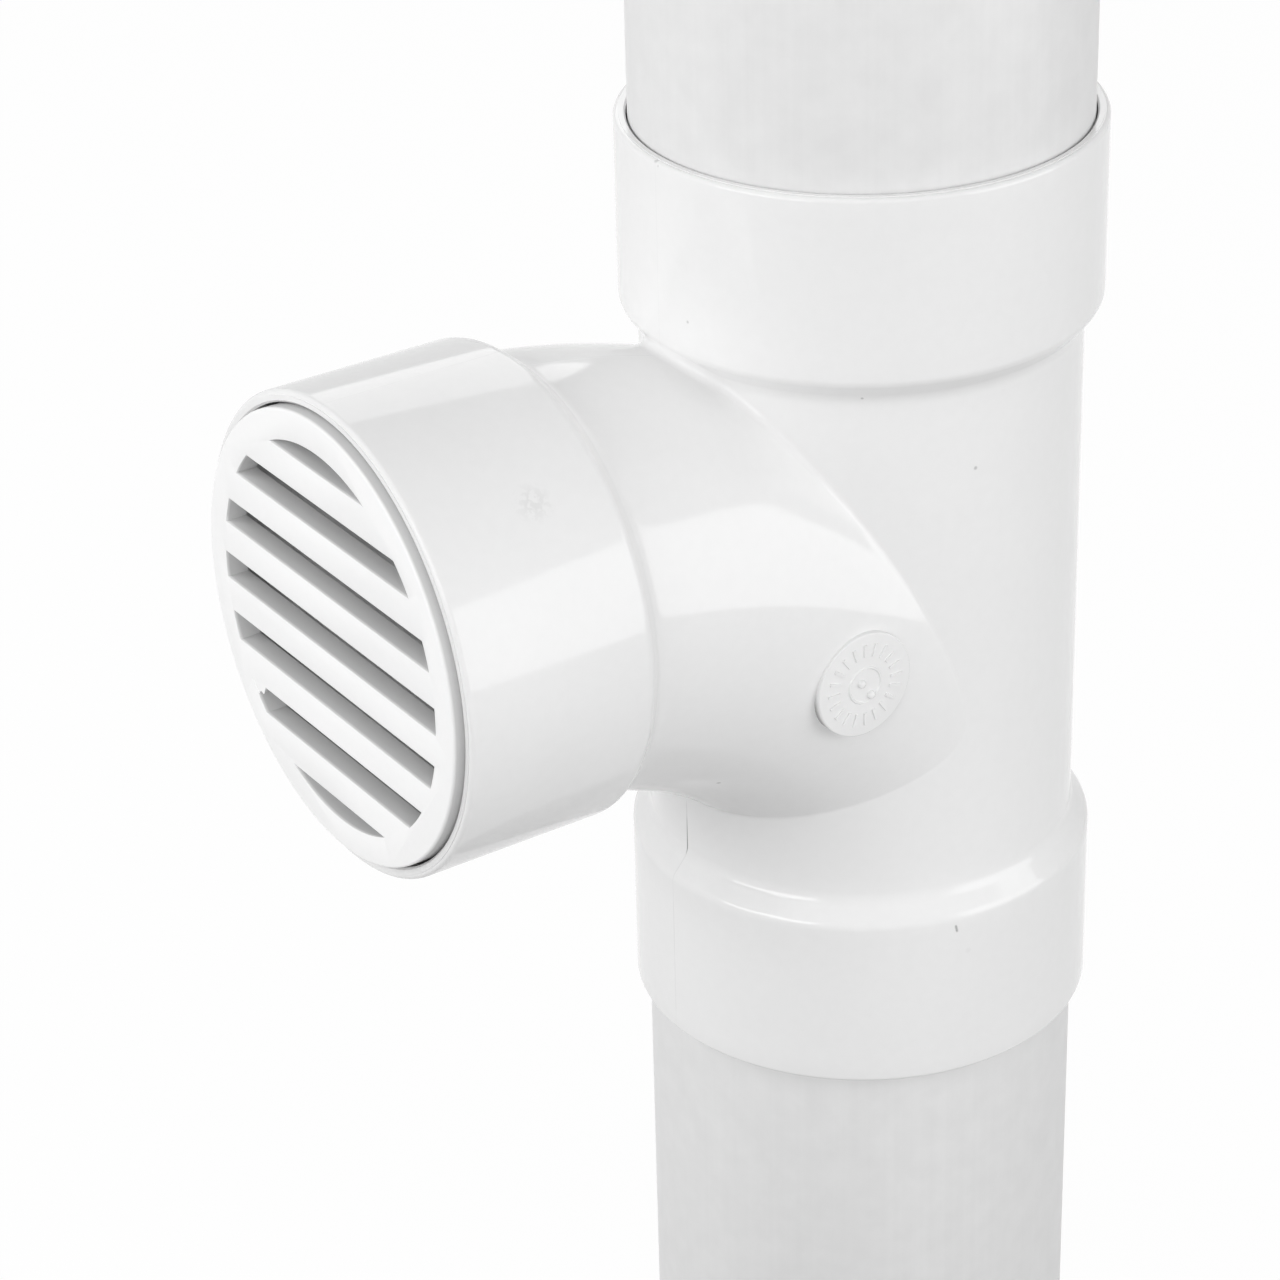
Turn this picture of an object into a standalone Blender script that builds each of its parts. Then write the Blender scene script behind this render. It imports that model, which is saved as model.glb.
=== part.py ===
"""Sanitary tee for 90 mm drain pipe: swept tee moulding, push-in grille and the two cemented pipe lengths."""
from math import ceil, cos, floor, hypot, pi, sin, sqrt

import bmesh
import bpy
from mathutils import Vector
from mathutils.geometry import delaunay_2d_cdt

# Pipe and the fit of a pipe in its socket
PIPE_RADIUS = 0.045
PIPE_WALL = 0.0022
PIPE_FIT = 0.0003
UPPER_PIPE_SHOWN = 0.048
LOWER_PIPE_SHOWN = 0.0925

# Sockets
SOCKET_WALL = 0.0025
RUN_SOCKET_DEPTH = 0.0375
BRANCH_SOCKET_DEPTH = 0.0392
SHOULDER_HEIGHT = 0.0044
STOP_LEDGE = 0.004
LEAD_IN = 0.0004
RIM_ROUND = 0.0007
SHOULDER_EDGE_ROUND = 0.0022
SHOULDER_FOOT_ROUND = 0.0036

# Body between the sockets
BODY_WALL = 0.0027
RIM_ABOVE_BRANCH = 0.077
BARREL_BELOW_BRANCH = 0.014
BRANCH_REACH = 0.122

# Branch bend: it leaves the foot of its socket already tipped and drops along one long radius
BRANCH_INSET = 0.0005
TIP_ANGLE = 0.156
ENTRY_ANGLE = 0.857
TIP_DROP = 0.0004
CROTCH_ROUND = 0.003

# Marking pad on the side of the branch, left bare
PAD_RADIUS = 0.0109
PAD_PROUD = 0.0015
PAD_ROOT = 0.0005
PAD_FORWARD = 0.0326
PAD_DROP = 0.0196

# Grille in the branch socket
GRILLE_PROUD = 0.0019
GRILLE_PLATE = 0.0044
GRILLE_GAP = 0.0005
GRILLE_HEAD_DEPTH = 0.006
GRILLE_FIT = 0.0003
GRILLE_DEPTH = 0.017
GRILLE_SKIRT_WALL = 0.0022
GRILLE_EDGE = 0.0003
SLOT_WIDTH = 0.0057
SLOT_PITCH = 0.0125
SLOT_FIELD_RADIUS = 0.0387
SMALLEST_SLOT = 0.002

# Faceting
SIDES = 48
CORNER_STEPS = 3
ROW_STEP = 0.009
BEND_ROWS = 9
CROTCH_STEPS = 3
ARC_STEPS = 5

# Radii and heights that follow from the sizes above
SOCKET_BORE = PIPE_RADIUS + PIPE_FIT
SOCKET_RADIUS = SOCKET_BORE + SOCKET_WALL
BODY_BORE = SOCKET_BORE - STOP_LEDGE
BODY_RADIUS = BODY_BORE + BODY_WALL
BRANCH_RADIUS = BODY_RADIUS - BRANCH_INSET
BRANCH_BORE = BRANCH_RADIUS - BODY_WALL
BRANCH_LEDGE = BRANCH_REACH - BRANCH_SOCKET_DEPTH
BRANCH_FOOT = BRANCH_LEDGE - SHOULDER_HEIGHT
BEND_RADIUS = BRANCH_FOOT / (sin(ENTRY_ANGLE) - sin(TIP_ANGLE))
BEND_FORWARD = BRANCH_FOOT + BEND_RADIUS * sin(TIP_ANGLE)
BEND_BELOW = TIP_DROP + BEND_RADIUS * cos(TIP_ANGLE)
BRANCH_LOW_EDGE = BEND_BELOW - sqrt((BEND_RADIUS - BRANCH_RADIUS) ** 2 - (BEND_FORWARD - BODY_RADIUS) ** 2)
RIM_BELOW_BRANCH = BRANCH_LOW_EDGE + BARREL_BELOW_BRANCH + SHOULDER_HEIGHT + RUN_SOCKET_DEPTH
UPPER_END = RIM_ABOVE_BRANCH + UPPER_PIPE_SHOWN
LOWER_END = -RIM_BELOW_BRANCH - LOWER_PIPE_SHOWN
GRILLE_FACE = BRANCH_REACH + GRILLE_PROUD


def clear_scene():
    for item in list(bpy.data.objects):
        bpy.data.objects.remove(item, do_unlink=True)


def plastic(name, color, roughness):
    """Moulded plastic: colour and roughness on a Principled BSDF."""
    material = bpy.data.materials.new(name)
    material.use_nodes = True
    shader = material.node_tree.nodes["Principled BSDF"]
    shader.inputs["Base Color"].default_value = (*color, 1.0)
    shader.inputs["Roughness"].default_value = roughness
    shader.inputs["Metallic"].default_value = 0.0
    return material


def arc_between(centre, start, end, steps):
    """Points of the short arc around a centre, from one contact point to another."""
    first, last = start - centre, end - centre
    return [centre + first.slerp(last, step / steps) * first.length for step in range(steps + 1)]


def rounded(corners):
    """Outline through corners given as (place, rounding); each rounding becomes a tangent arc."""
    points = []
    for index, (here, rounding) in enumerate(corners):
        if rounding == 0:
            points.append(here)
            continue
        back = (corners[index - 1][0] - here).normalized()
        ahead = (corners[index + 1][0] - here).normalized()
        half = back.angle(ahead) / 2
        to_centre = (back + ahead).normalized()
        centre = here + to_centre * (rounding / sin(half))
        reach = rounding * cos(half) / sin(half)
        points += arc_between(centre, here + back * reach, here + ahead * reach, CORNER_STEPS)
    return points


def with_rows(outline, radius):
    """Splits the straight stretches that lie at one radius, so that they carry rows of points."""
    points = [outline[0]]
    for start, end in zip(outline, outline[1:]):
        length = (end - start).length
        level = abs(start.x - radius) < 1e-6 and abs(end.x - radius) < 1e-6
        pieces = max(1, ceil(length / ROW_STEP)) if level else 1
        points += [start.lerp(end, piece / pieces) for piece in range(1, pieces + 1)]
    return points


def arc_lengths(outline):
    lengths = [0.0]
    for start, end in zip(outline, outline[1:]):
        lengths.append(lengths[-1] + (end - start).length)
    return lengths


def run_outside():
    """Outer outline of the run, as (radius, height), from the upper rim down to the lower rim."""
    upper, lower = RIM_ABOVE_BRANCH, -RIM_BELOW_BRANCH
    corners = [
        (SOCKET_BORE + LEAD_IN, upper, 0),
        (SOCKET_RADIUS, upper, RIM_ROUND),
        (SOCKET_RADIUS, upper - RUN_SOCKET_DEPTH, SHOULDER_EDGE_ROUND),
        (BODY_RADIUS, upper - RUN_SOCKET_DEPTH - SHOULDER_HEIGHT, SHOULDER_FOOT_ROUND),
        (BODY_RADIUS, lower + RUN_SOCKET_DEPTH + SHOULDER_HEIGHT, SHOULDER_FOOT_ROUND),
        (SOCKET_RADIUS, lower + RUN_SOCKET_DEPTH, SHOULDER_EDGE_ROUND),
        (SOCKET_RADIUS, lower, RIM_ROUND),
        (SOCKET_BORE + LEAD_IN, lower, 0),
    ]
    return with_rows(rounded([(Vector(corner[:2]), corner[2]) for corner in corners]), BODY_RADIUS)


def run_inside():
    """Inner outline of the run, from the lower lead-in up over the two pipe stops to the upper one."""
    upper, lower = RIM_ABOVE_BRANCH, -RIM_BELOW_BRANCH
    corners = [
        (SOCKET_BORE, lower + LEAD_IN),
        (SOCKET_BORE, lower + RUN_SOCKET_DEPTH),
        (BODY_BORE, lower + RUN_SOCKET_DEPTH),
        (BODY_BORE, upper - RUN_SOCKET_DEPTH),
        (SOCKET_BORE, upper - RUN_SOCKET_DEPTH),
        (SOCKET_BORE, upper - LEAD_IN),
    ]
    return with_rows([Vector(corner) for corner in corners], BODY_BORE)


def bend_place(travel):
    """Centre line of the branch bend: (forward, height, slope) after a length of travel from its foot."""
    straight, bent = min(travel, 0.0), max(travel, 0.0)
    slope = TIP_ANGLE + bent / BEND_RADIUS
    forward = -BEND_FORWARD + straight * cos(TIP_ANGLE) + BEND_RADIUS * sin(slope)
    height = -BEND_BELOW - straight * sin(TIP_ANGLE) + BEND_RADIUS * cos(slope)
    return forward, height, slope


def on_bend(around, travel, radius):
    """Point of the bent branch tube; around is measured from its top towards +X."""
    forward, height, slope = bend_place(travel)
    across = radius * cos(around)
    return Vector((radius * sin(around), forward + across * sin(slope), height + across * cos(slope)))


def nearest(outline, lengths, radius, height):
    """Nearest place of an outline: signed distance (plus is outside), the place and its arc length."""
    point = Vector((radius, height))
    best = None
    for index, (start, end) in enumerate(zip(outline, outline[1:])):
        run = end - start
        share = min(1.0, max(0.0, (point - start).dot(run) / run.length_squared))
        place = start + run * share
        gap = (point - place).length
        if best is None or gap < best[0] - 1e-9:
            side = (point - place).dot(Vector((-run.y, run.x)))
            best = (gap, gap if side >= 0 else -gap, place, lengths[index] + run.length * share)
    return best[1:]


def first_meeting(clearance, travel=0.0):
    """First travel along the bend at which a clearance closes, or where it is least."""
    step = ROW_STEP / 4
    least, at_least = clearance(travel), travel
    while bend_place(travel)[0] < 0:
        ahead = clearance(travel + step)
        if ahead <= 0:
            low, high = travel, travel + step
            for _ in range(30):
                middle = (low + high) / 2
                low, high = (middle, high) if clearance(middle) > 0 else (low, middle)
            return high
        if ahead < least:
            least, at_least = ahead, travel + step
        travel += step
    return at_least


def crotch(around, outline, lengths):
    """Rounding between branch and run at one place around the branch: travel, arc and skin place."""
    ball = BRANCH_RADIUS + CROTCH_ROUND

    def clearance(travel):
        place = on_bend(around, travel, ball)
        return nearest(outline, lengths, hypot(place.x, place.y), place.z)[0] - CROTCH_ROUND

    travel = first_meeting(clearance)
    centre = on_bend(around, travel, ball)
    radius = hypot(centre.x, centre.y)
    _, place, length = nearest(outline, lengths, radius, centre.z)
    on_run = Vector((centre.x * place.x / radius, centre.y * place.x / radius, place.y))
    return travel, arc_between(centre, on_bend(around, travel, BRANCH_RADIUS), on_run, CROTCH_STEPS), length


def bore_meeting(around):
    """Travel at which the branch bore breaks into the run bore, and the point where it does."""
    def clearance(travel):
        place = on_bend(around, travel, BRANCH_BORE)
        return hypot(place.x, place.y) - BODY_BORE

    travel = first_meeting(clearance)
    place = on_bend(around, travel, BRANCH_BORE)
    scale = BODY_BORE / hypot(place.x, place.y)
    return travel, Vector((place.x * scale, place.y * scale, place.z))


def leaves_plane(around, radius, reach):
    """Travel at which a line along the bent tube leaves the upright plane at some reach."""
    return first_meeting(lambda travel: -reach - on_bend(around, travel, radius).y, -radius)


def branch_line(around, mouth, root):
    """One line along the branch wall: out along its bore, over the rim and back along its outside."""
    def level(radius, reach):
        return Vector((radius * sin(around), -reach, radius * cos(around)))

    bore_start = leaves_plane(around, BRANCH_BORE, BRANCH_LEDGE)
    foot = leaves_plane(around, BRANCH_RADIUS, BRANCH_FOOT)
    points = [mouth[1]]
    for row in range(BEND_ROWS - 1, -1, -1):
        travel = bore_start + (mouth[0] - bore_start) * row / BEND_ROWS
        points.append(on_bend(around, travel, BRANCH_BORE))
    points += rounded([
        (level(SOCKET_BORE, BRANCH_LEDGE), 0),
        (level(SOCKET_BORE, BRANCH_REACH - LEAD_IN), 0),
        (level(SOCKET_BORE + LEAD_IN, BRANCH_REACH), 0),
        (level(SOCKET_RADIUS, BRANCH_REACH), RIM_ROUND),
        (level(SOCKET_RADIUS, BRANCH_LEDGE), SHOULDER_EDGE_ROUND),
        (on_bend(around, foot, BRANCH_RADIUS), SHOULDER_FOOT_ROUND),
        (on_bend(around, foot + SHOULDER_FOOT_ROUND, BRANCH_RADIUS), 0),
    ])
    start = foot + SHOULDER_FOOT_ROUND
    for row in range(1, BEND_ROWS):
        points.append(on_bend(around, start + (root[0] - start) * row / BEND_ROWS, BRANCH_RADIUS))
    return points + root[1]


def branch_rings():
    """Rings of points along the branch wall, from the edge of its bore in the run to its outer root."""
    outline = run_outside()
    lengths = arc_lengths(outline)
    turns = [2 * pi * side / SIDES for side in range(SIDES)]
    roots = [crotch(turn, outline, lengths) for turn in turns]
    lines = [branch_line(turn, bore_meeting(turn), root) for turn, root in zip(turns, roots)]
    return list(zip(*lines)), [root[2] for root in roots]


def inside(point, loop):
    """Whether a flat point lies inside a closed loop, by counting the edges to its right."""
    odd = False
    for start, end in zip(loop, loop[1:] + loop[:1]):
        if (start[1] > point[1]) != (end[1] > point[1]):
            crossing = start[0] + (point[1] - start[1]) * (end[0] - start[0]) / (end[1] - start[1])
            odd = odd != (point[0] < crossing)
    return odd


def clear_of(point, loop, margin):
    for start, end in zip(loop, loop[1:] + loop[:1]):
        run = Vector(end) - Vector(start)
        share = min(1.0, max(0.0, (Vector(point) - Vector(start)).dot(run) / run.length_squared))
        if (Vector(start) + run * share - Vector(point)).length < margin:
            return False
    return True


def skin_with_window(mesh, rows, lengths, radius, loop, flat_loop):
    """Skins turned rows of points all round, and leaves out the window that a loop of points bounds."""
    sector = 2 * pi * radius / SIDES
    first = floor(min(u for u, _ in flat_loop) / sector) - 1
    last = ceil(max(u for u, _ in flat_loop) / sector) + 1
    low = min(v for _, v in flat_loop)
    high = max(v for _, v in flat_loop)
    top = max(index for index, length in enumerate(lengths) if length < low - LEAD_IN)
    bottom = min(index for index, length in enumerate(lengths) if length > high + LEAD_IN)
    for row in range(len(rows) - 1):
        for side in range(SIDES):
            if top <= row < bottom and first <= side < last:
                continue
            after = (side + 1) % SIDES
            mesh.faces.new((rows[row][side], rows[row + 1][side], rows[row + 1][after], rows[row][after]))
    points, corners, places = [], [], {}
    for row in range(top, bottom + 1):
        for side in range(first, last + 1):
            flat = (side * sector, lengths[row])
            border = row in (top, bottom) or side in (first, last)
            if border or (not inside(flat, flat_loop) and clear_of(flat, flat_loop, sector / 4)):
                places[row, side] = len(points)
                points.append(Vector(flat))
                corners.append(rows[row][side % SIDES])
    edges = [(places[row, side], places[row, side + 1]) for row in (top, bottom) for side in range(first, last)]
    edges += [(places[row, side], places[row + 1, side]) for side in (first, last) for row in range(top, bottom)]
    start = len(points)
    points += [Vector(flat) for flat in flat_loop]
    corners += list(loop)
    edges += [(start + index, start + (index + 1) % len(loop)) for index in range(len(loop))]
    found, _, faces, origins, _, _ = delaunay_2d_cdt(points, edges, [], 0, 1e-7)
    for face in faces:
        middle = sum((found[index] for index in face), Vector((0, 0))) / len(face)
        if not inside(middle, flat_loop):
            mesh.faces.new([corners[origins[index][0]] for index in face])


def turned_rows(mesh, outline):
    """Rows of vertices around the run, counted from its back towards +X."""
    turns = [2 * pi * side / SIDES for side in range(SIDES)]
    return [[mesh.verts.new((radius * sin(turn), radius * cos(turn), height)) for turn in turns]
            for radius, height in outline]


def turn_of(place):
    """Angle of a point around the run, from its back, in the same sense as the turned rows."""
    turn = Vector((place.y, place.x)).angle_signed(Vector((1, 0)))
    return turn if turn >= 0 else turn + 2 * pi


def finished(mesh, name, material, parent):
    """Makes an object of a mesh: faces outward, smooth where it is round, and placed by its parent."""
    bmesh.ops.recalc_face_normals(mesh, faces=mesh.faces)
    if mesh.calc_volume(signed=True) < 0:
        bmesh.ops.reverse_faces(mesh, faces=mesh.faces)
    data = bpy.data.meshes.new(name)
    mesh.to_mesh(data)
    mesh.free()
    data.shade_smooth()
    data.set_sharp_from_angle(angle=0.6)
    if material:
        data.materials.append(material)
    item = bpy.data.objects.new(name, data)
    bpy.context.scene.collection.objects.link(item)
    item.parent = parent
    return item


def cutter(item):
    """Keeps a tool shape out of view and out of the model."""
    item.hide_render = True
    item.display_type = "WIRE"
    return item


def boolean(item, tool, operation):
    modifier = item.modifiers.new(tool.name, "BOOLEAN")
    modifier.operation = operation
    modifier.solver = "EXACT"
    modifier.object = tool


def tee_body(material, frame):
    """One moulding: run with two sockets, bent branch with its socket, and the open bores through them."""
    mesh = bmesh.new()
    outside, inner = run_outside(), run_inside()
    outside_rows, inner_rows = turned_rows(mesh, outside), turned_rows(mesh, inner)
    rings, root_lengths = branch_rings()
    branch = [[mesh.verts.new(place) for place in ring] for ring in rings]
    for near, far in zip(branch, branch[1:]):
        for side in range(SIDES):
            after = (side + 1) % SIDES
            mesh.faces.new((near[side], near[after], far[after], far[side]))
    inner_lengths = arc_lengths(inner)
    flat_mouth = []
    for place in rings[0]:
        length = nearest(inner, inner_lengths, BODY_BORE, place.z)[2]
        flat_mouth.append((turn_of(place) * BODY_BORE, length))
    flat_root = [(turn_of(place) * BODY_RADIUS, length) for place, length in zip(rings[-1], root_lengths)]
    skin_with_window(mesh, inner_rows, inner_lengths, BODY_BORE, branch[0], flat_mouth)
    skin_with_window(mesh, outside_rows, arc_lengths(outside), BODY_RADIUS, branch[-1], flat_root)
    for upper, lower in ((outside_rows[-1], inner_rows[0]), (inner_rows[-1], outside_rows[0])):
        for side in range(SIDES):
            after = (side + 1) % SIDES
            mesh.faces.new((upper[side], lower[side], lower[after], upper[after]))
    body = finished(mesh, "tee_body", material, frame)
    boolean(body, marking_pad(frame), "UNION")
    return body


def marking_pad(frame):
    """Bare round boss on the side of the branch, rooted in its wall."""
    mesh = bmesh.new()
    sunk = sqrt(BRANCH_RADIUS ** 2 - PAD_RADIUS ** 2) - PAD_ROOT
    bmesh.ops.create_cone(mesh, cap_ends=True, segments=SIDES // 2, radius1=PAD_RADIUS, radius2=PAD_RADIUS,
                          depth=BRANCH_RADIUS + PAD_PROUD - sunk)
    middle = (BRANCH_RADIUS + PAD_PROUD + sunk) / 2
    for vertex in mesh.verts:
        across, up, along = vertex.co
        vertex.co = (middle + along, across - PAD_FORWARD, up - PAD_DROP)
    return cutter(finished(mesh, "pad_tool", None, frame))


def lathe(mesh, outline, place):
    """Turns a closed outline of (radius, along) into a ring; place puts (across, up, along) in space."""
    turns = [2 * pi * side / SIDES for side in range(SIDES)]
    rows = []
    for radius, along in outline:
        if radius == 0:
            rows.append([mesh.verts.new(place(0, 0, along))] * SIDES)
            continue
        rows.append([mesh.verts.new(place(radius * sin(turn), radius * cos(turn), along)) for turn in turns])
    for near, far in zip(rows, rows[1:] + rows[:1]):
        if near[0] is near[1] and far[0] is far[1]:
            continue
        for side in range(SIDES):
            after = (side + 1) % SIDES
            corners = dict.fromkeys((near[side], near[after], far[after], far[side]))
            mesh.faces.new(list(corners))


def upright(across, up, along):
    return (across, up, along)


def forward(across, up, along):
    return (across, -along, up)


def pipe(name, start, end, material, frame):
    """Plain pipe length, square cut at both ends."""
    mesh = bmesh.new()
    bore = PIPE_RADIUS - PIPE_WALL
    lathe(mesh, [(PIPE_RADIUS, start), (PIPE_RADIUS, end), (bore, end), (bore, start)], upright)
    return finished(mesh, name, material, frame)


def slot_tool(frame):
    """Level slots through the grille, all cut off by one circle: full ones, and a crescent top and bottom."""
    mesh = bmesh.new()
    reach = SLOT_FIELD_RADIUS + SLOT_WIDTH / 2 - SMALLEST_SLOT
    count = floor(reach / SLOT_PITCH)
    for index in range(-count, count + 1):
        low = max(index * SLOT_PITCH - SLOT_WIDTH / 2, -SLOT_FIELD_RADIUS)
        high = min(index * SLOT_PITCH + SLOT_WIDTH / 2, SLOT_FIELD_RADIUS)
        heights = [low + (high - low) * (1 - cos(pi * step / ARC_STEPS)) / 2 for step in range(ARC_STEPS + 1)]
        halves = [sqrt(max(0.0, SLOT_FIELD_RADIUS ** 2 - height ** 2)) for height in heights]
        outline = [(half, height) for half, height in zip(halves, heights)]
        outline += [(-half, height) for half, height in reversed(outline) if half > 1e-6]
        back = GRILLE_FACE - GRILLE_PLATE - GRILLE_EDGE
        front = GRILLE_FACE + GRILLE_EDGE
        near = [mesh.verts.new((across, -front, height)) for across, height in outline]
        far = [mesh.verts.new((across, -back, height)) for across, height in outline]
        mesh.faces.new(near)
        mesh.faces.new(far[::-1])
        for corner in range(len(outline)):
            after = (corner + 1) % len(outline)
            mesh.faces.new((near[after], near[corner], far[corner], far[after]))
    return cutter(finished(mesh, "slot_tool", None, frame))


def grille(material, frame):
    """Push-in grille: slotted plate with a relieved head and a skirt that fits the socket."""
    head = SOCKET_BORE - GRILLE_GAP
    skirt = SOCKET_BORE - GRILLE_FIT
    skirt_bore = skirt - GRILLE_SKIRT_WALL
    plate_back = GRILLE_FACE - GRILLE_PLATE
    skirt_end = GRILLE_FACE - GRILLE_DEPTH
    skirt_top = GRILLE_FACE - GRILLE_HEAD_DEPTH
    mesh = bmesh.new()
    outline = [
        (0, GRILLE_FACE),
        (head - GRILLE_EDGE, GRILLE_FACE),
        (head, GRILLE_FACE - GRILLE_EDGE),
        (head, skirt_top),
        (skirt, skirt_top - (skirt - head)),
        (skirt, skirt_end),
        (skirt_bore, skirt_end),
        (skirt_bore, plate_back),
        (0, plate_back),
    ]
    lathe(mesh, outline, forward)
    item = finished(mesh, "grille", material, frame)
    boolean(item, slot_tool(frame), "DIFFERENCE")
    return item


def main():
    clear_scene()
    frame = bpy.data.objects.new("tee_frame", None)
    bpy.context.scene.collection.objects.link(frame)
    frame.location = (0, (GRILLE_FACE - SOCKET_RADIUS) / 2, -LOWER_END)
    gloss_white = plastic("tee_gloss_white", (0.86, 0.86, 0.86), 0.22)
    grille_white = plastic("grille_white", (0.9, 0.9, 0.9), 0.35)
    pipe_white = plastic("pipe_satin_white", (0.78, 0.78, 0.78), 0.4)
    tee_body(gloss_white, frame)
    grille(grille_white, frame)
    upper_stop = RIM_ABOVE_BRANCH - RUN_SOCKET_DEPTH + PIPE_FIT
    lower_stop = -RIM_BELOW_BRANCH + RUN_SOCKET_DEPTH - PIPE_FIT
    pipe("upper_pipe", upper_stop, UPPER_END, pipe_white, frame)
    pipe("lower_pipe", LOWER_END, lower_stop, pipe_white, frame)


if __name__ == "__main__":
    main()
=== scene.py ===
"""Looks of a sanitary tee: glossy moulding, marking pad, slotted grille, pipe lengths and a pale stage."""

from math import ceil, cos, floor, hypot, pi, radians, sin, sqrt

import bmesh
import bpy
import numpy as np
from bpy.props import FloatProperty, FloatVectorProperty, IntProperty, PointerProperty
from mathutils import Matrix, Vector
from mathutils.geometry import delaunay_2d_cdt


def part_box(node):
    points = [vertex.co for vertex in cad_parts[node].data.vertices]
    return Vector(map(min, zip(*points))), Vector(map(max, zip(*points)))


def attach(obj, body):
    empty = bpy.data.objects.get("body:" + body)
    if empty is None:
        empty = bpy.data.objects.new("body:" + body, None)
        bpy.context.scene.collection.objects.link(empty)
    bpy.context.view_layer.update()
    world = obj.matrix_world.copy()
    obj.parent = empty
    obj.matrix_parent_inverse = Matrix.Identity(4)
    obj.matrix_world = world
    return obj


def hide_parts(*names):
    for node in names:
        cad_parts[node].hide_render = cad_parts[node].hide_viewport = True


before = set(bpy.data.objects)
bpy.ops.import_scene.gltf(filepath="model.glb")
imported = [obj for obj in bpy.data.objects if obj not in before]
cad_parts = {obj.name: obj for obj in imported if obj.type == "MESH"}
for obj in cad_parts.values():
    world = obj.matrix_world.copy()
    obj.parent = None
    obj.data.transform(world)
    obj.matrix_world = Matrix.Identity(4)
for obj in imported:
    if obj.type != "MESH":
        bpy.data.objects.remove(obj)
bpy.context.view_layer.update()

bl_info = {
    "name": "Sanitary tee",
    "version": (1, 0, 0),
    "blender": (4, 5, 0),
    "location": "3D View > Sidebar > Tee",
    "description": "Builds the looks of a drain pipe tee with a slotted grille in its branch",
    "category": "Object",
}

# Places in the row frame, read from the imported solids
PIPE_LOW, PIPE_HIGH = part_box("lower_pipe")
GRILLE_LOW, GRILLE_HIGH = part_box("grille")
TEE_LOW, TEE_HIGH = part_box("tee_body")
UPPER_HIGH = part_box("upper_pipe")[1]
RUN_Y = (PIPE_LOW.y + PIPE_HIGH.y) / 2
BRANCH_Z = (GRILLE_LOW.z + GRILLE_HIGH.z) / 2
HOME = Vector((0, RUN_Y, BRANCH_Z))

# Camera of the photograph, measured from the crossing of run and branch
CAMERA_PLACE = Vector((0.58242, -0.43551, 0.35656))
CAMERA_AZIMUTH = radians(56.788)
CAMERA_ELEVATION = radians(28.580)
CAMERA_ROLL = radians(-1.618)
CAMERA_LENS = 112.88
CAMERA_SENSOR = 36.0
CAMERA_NEAR = 0.01

# Soft light: name, azimuth and elevation in degrees, distance, width, height, radiance, seen in the gloss
LAMPS = (
    ("right_box", 34.5, 9.0, 1.2, 1.04, 0.82, 1.8, True),
    ("left_back_box", 150.0, 34.0, 1.6, 0.9, 0.9, 1.25, True),
    ("front_box", -81.0, 18.0, 1.6, 1.29, 0.5, 3.4, True),
    ("left_front_fill", -130.0, 20.0, 1.6, 1.0, 1.0, 3.25, False),
    ("low_front_fill", -33.0, 12.0, 1.6, 1.0, 0.8, 2.6, False),
    ("high_front_fill", -33.0, 60.0, 1.6, 1.0, 1.0, 1.1, False),
    ("right_fill", 25.0, 25.0, 1.6, 1.0, 1.0, 1.2, False),
)
ROOM_LIGHT = 0.22
FLOOR_LIFT = 0.97
FLOOR_HALF = 6.0
FLOOR_ROUGHNESS = 0.9

# Fineness: rows along the run and the bend, and facets round the small turned pieces
ROW_STEP = 0.0035
BEND_ROWS = 26
GRILLE_SIDES = 256
PAD_SIDES = 128
PIP_SIDES = 24
FINE_STEPS = 3

# Search along the bend for the place where it meets the run
SEARCH_STEP = 0.002
HALVINGS = 26

# Least cosine between a known normal and the mesh's own at which the known one is used
SAME_SIDE = 0.97

# Angle between two faces from which their edge is sharp, and from which a slot's edge is a corner
SHARP_ANGLE = 0.6
CORNER_ANGLE = 1.0

# Grille: ring at the edge of its face, overlaps of the cutters, and the limits for cleaning its face
FACE_RING = 0.002
CUT_OVERLAP = 0.001
BAR_OVERLAP = 2.2
SAME_PLACE, SAME_FACE, NEARLY_FLAT = 1e-7, 1e-6, 0.001

# Pad: how its root is sunk under the branch's skin, and the roundings of its ring and of its rim
ROOT_SPREAD, ROOT_SINK = 0.004, 0.0005
RING_EDGE, PAD_EDGE = 0.00006, 0.0003

# Marks of the mouldings: fineness, then spread in tone, in gloss and in height
FLOW, MOTTLE, GRAIN = 22.0, 420.0, 1400.0
FLOW_TONE, MOTTLE_TONE = 0.012, 0.006
FLOW_GLOSS, GRAIN_GLOSS = 0.02, 0.01
FLOW_HEIGHT, GRAIN_HEIGHT = 0.00012, 0.000002

# Marks of the pipes: lines across and along the pipe, cloud, then spread in tone, in gloss and in height
LINES_ACROSS, LINES_ALONG, CLOUD = 600.0, 6.0, 160.0
LINES_TONE, CLOUD_TONE = 0.01, 0.022
LINES_GLOSS, LINES_HEIGHT = 0.045, 0.00001

# Specks and nicks of the moulding: place from the crossing of run and branch, radius and darkness
SPECKS = (
    ((-0.0004, -0.0474, 0.0769), 0.0007, 0.25),
    ((0.0008, -0.0478, 0.0762), 0.0003, 0.2),
    ((0.0085, -0.0470, 0.0470), 0.0004, 0.25),
    ((0.0358, -0.0264, 0.0356), 0.0004, 0.35),
    ((0.0437, -0.0053, 0.0179), 0.0005, 0.35),
    ((0.0290, -0.0559, -0.0410), 0.0006, 0.35),
    ((0.0466, -0.0107, -0.0820), 0.00035, 0.35),
    ((0.0466, -0.0106, -0.0824), 0.0004, 0.45),
    ((0.0466, -0.0105, -0.0829), 0.0004, 0.45),
    ((0.0466, -0.0104, -0.0833), 0.00035, 0.35),
    ((0.0471, -0.0079, -0.0886), 0.0008, 0.04),
)
SMUDGE = (0.0333, -0.0981, 0.0342)
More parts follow.
